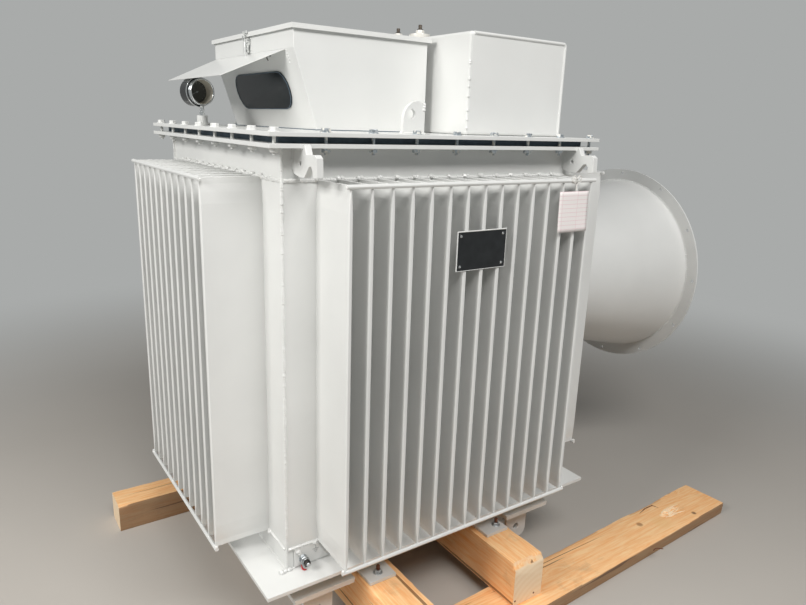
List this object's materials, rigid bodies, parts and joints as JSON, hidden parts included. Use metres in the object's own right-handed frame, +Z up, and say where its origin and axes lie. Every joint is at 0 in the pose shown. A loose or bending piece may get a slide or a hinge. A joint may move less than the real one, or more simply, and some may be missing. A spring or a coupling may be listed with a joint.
{
  "type": "power transformer",
  "caption": "Oil-filled power transformer: finned tank, bolted cover with boxes and thermometer, side outlet duct, on a timber grillage",
  "frame": {"origin": "middle of the timber grillage, on the ground", "axes": "+X along the front of the tank towards the outlet duct, +Y towards the rear, +Z up"},
  "size_m": [2.21, 1.475, 1.9549],
  "materials": {
    "grey_white_enamel": "glossy enamel",
    "pine": "rough sawn",
    "black_rubber": "matt",
    "dark_glass": "clear over a dark inside",
    "white_porcelain": "glazed porcelain",
    "brass": "dull",
    "chrome": "polished",
    "zinc_plate": "zinc plated",
    "black_plate": "satin black"
  },
  "bodies": {
    "transformer": {"tank": "grey_white_enamel", "base_plate": "grey_white_enamel", "rim_flange": "grey_white_enamel", "cover": "grey_white_enamel", "front_fins": "grey_white_enamel", "rear_fins": "grey_white_enamel", "left_fins": "grey_white_enamel", "right_front_fins": "grey_white_enamel", "right_rear_fins": "grey_white_enamel", "front_left_lifting_hook": "grey_white_enamel", "front_right_lifting_hook": "grey_white_enamel", "rear_left_lifting_hook": "grey_white_enamel", "rear_right_lifting_hook": "grey_white_enamel", "front_cover_eye": "grey_white_enamel", "rear_cover_eye": "grey_white_enamel", "terminal_box": "grey_white_enamel", "window_visor": "grey_white_enamel", "lid_hinge": "grey_white_enamel", "second_box": "grey_white_enamel", "thermometer_pocket": "grey_white_enamel", "outlet_cone": "grey_white_enamel", "outlet_flange": "grey_white_enamel", "earth_bracket": "grey_white_enamel", "left_skid_channel": "grey_white_enamel", "right_skid_channel": "grey_white_enamel", "front_left_roller_bracket": "grey_white_enamel", "front_right_roller_bracket": "grey_white_enamel", "rear_left_roller_bracket": "grey_white_enamel", "rear_right_roller_bracket": "grey_white_enamel", "front_timber": "pine", "rear_timber": "pine", "left_timber": "pine", "right_timber": "pine", "cover_gasket": "black_rubber", "window_glass": "dark_glass", "terminal_insulator_1": "white_porcelain", "terminal_insulator_2": "white_porcelain", "outlet_bushing": "white_porcelain", "terminal_stud_1": "brass", "terminal_stud_2": "brass", "outlet_stud": "brass", "dial_thermometer": "chrome", "toggle_latch": "zinc_plate", "nameplate": "black_plate"},
    "terminal_box_lid": {"terminal_box_lid": "grey_white_enamel", "latch_keeper": "zinc_plate"}
  },
  "joints": [
    {"name": "lid_hinge", "type": "hinge", "parent": "transformer", "child": "terminal_box_lid", "pos_m": [-0.2057, 0.19, 1.8371], "axis": [0, 1, 0], "range_deg": [0, 85]}
  ]
}
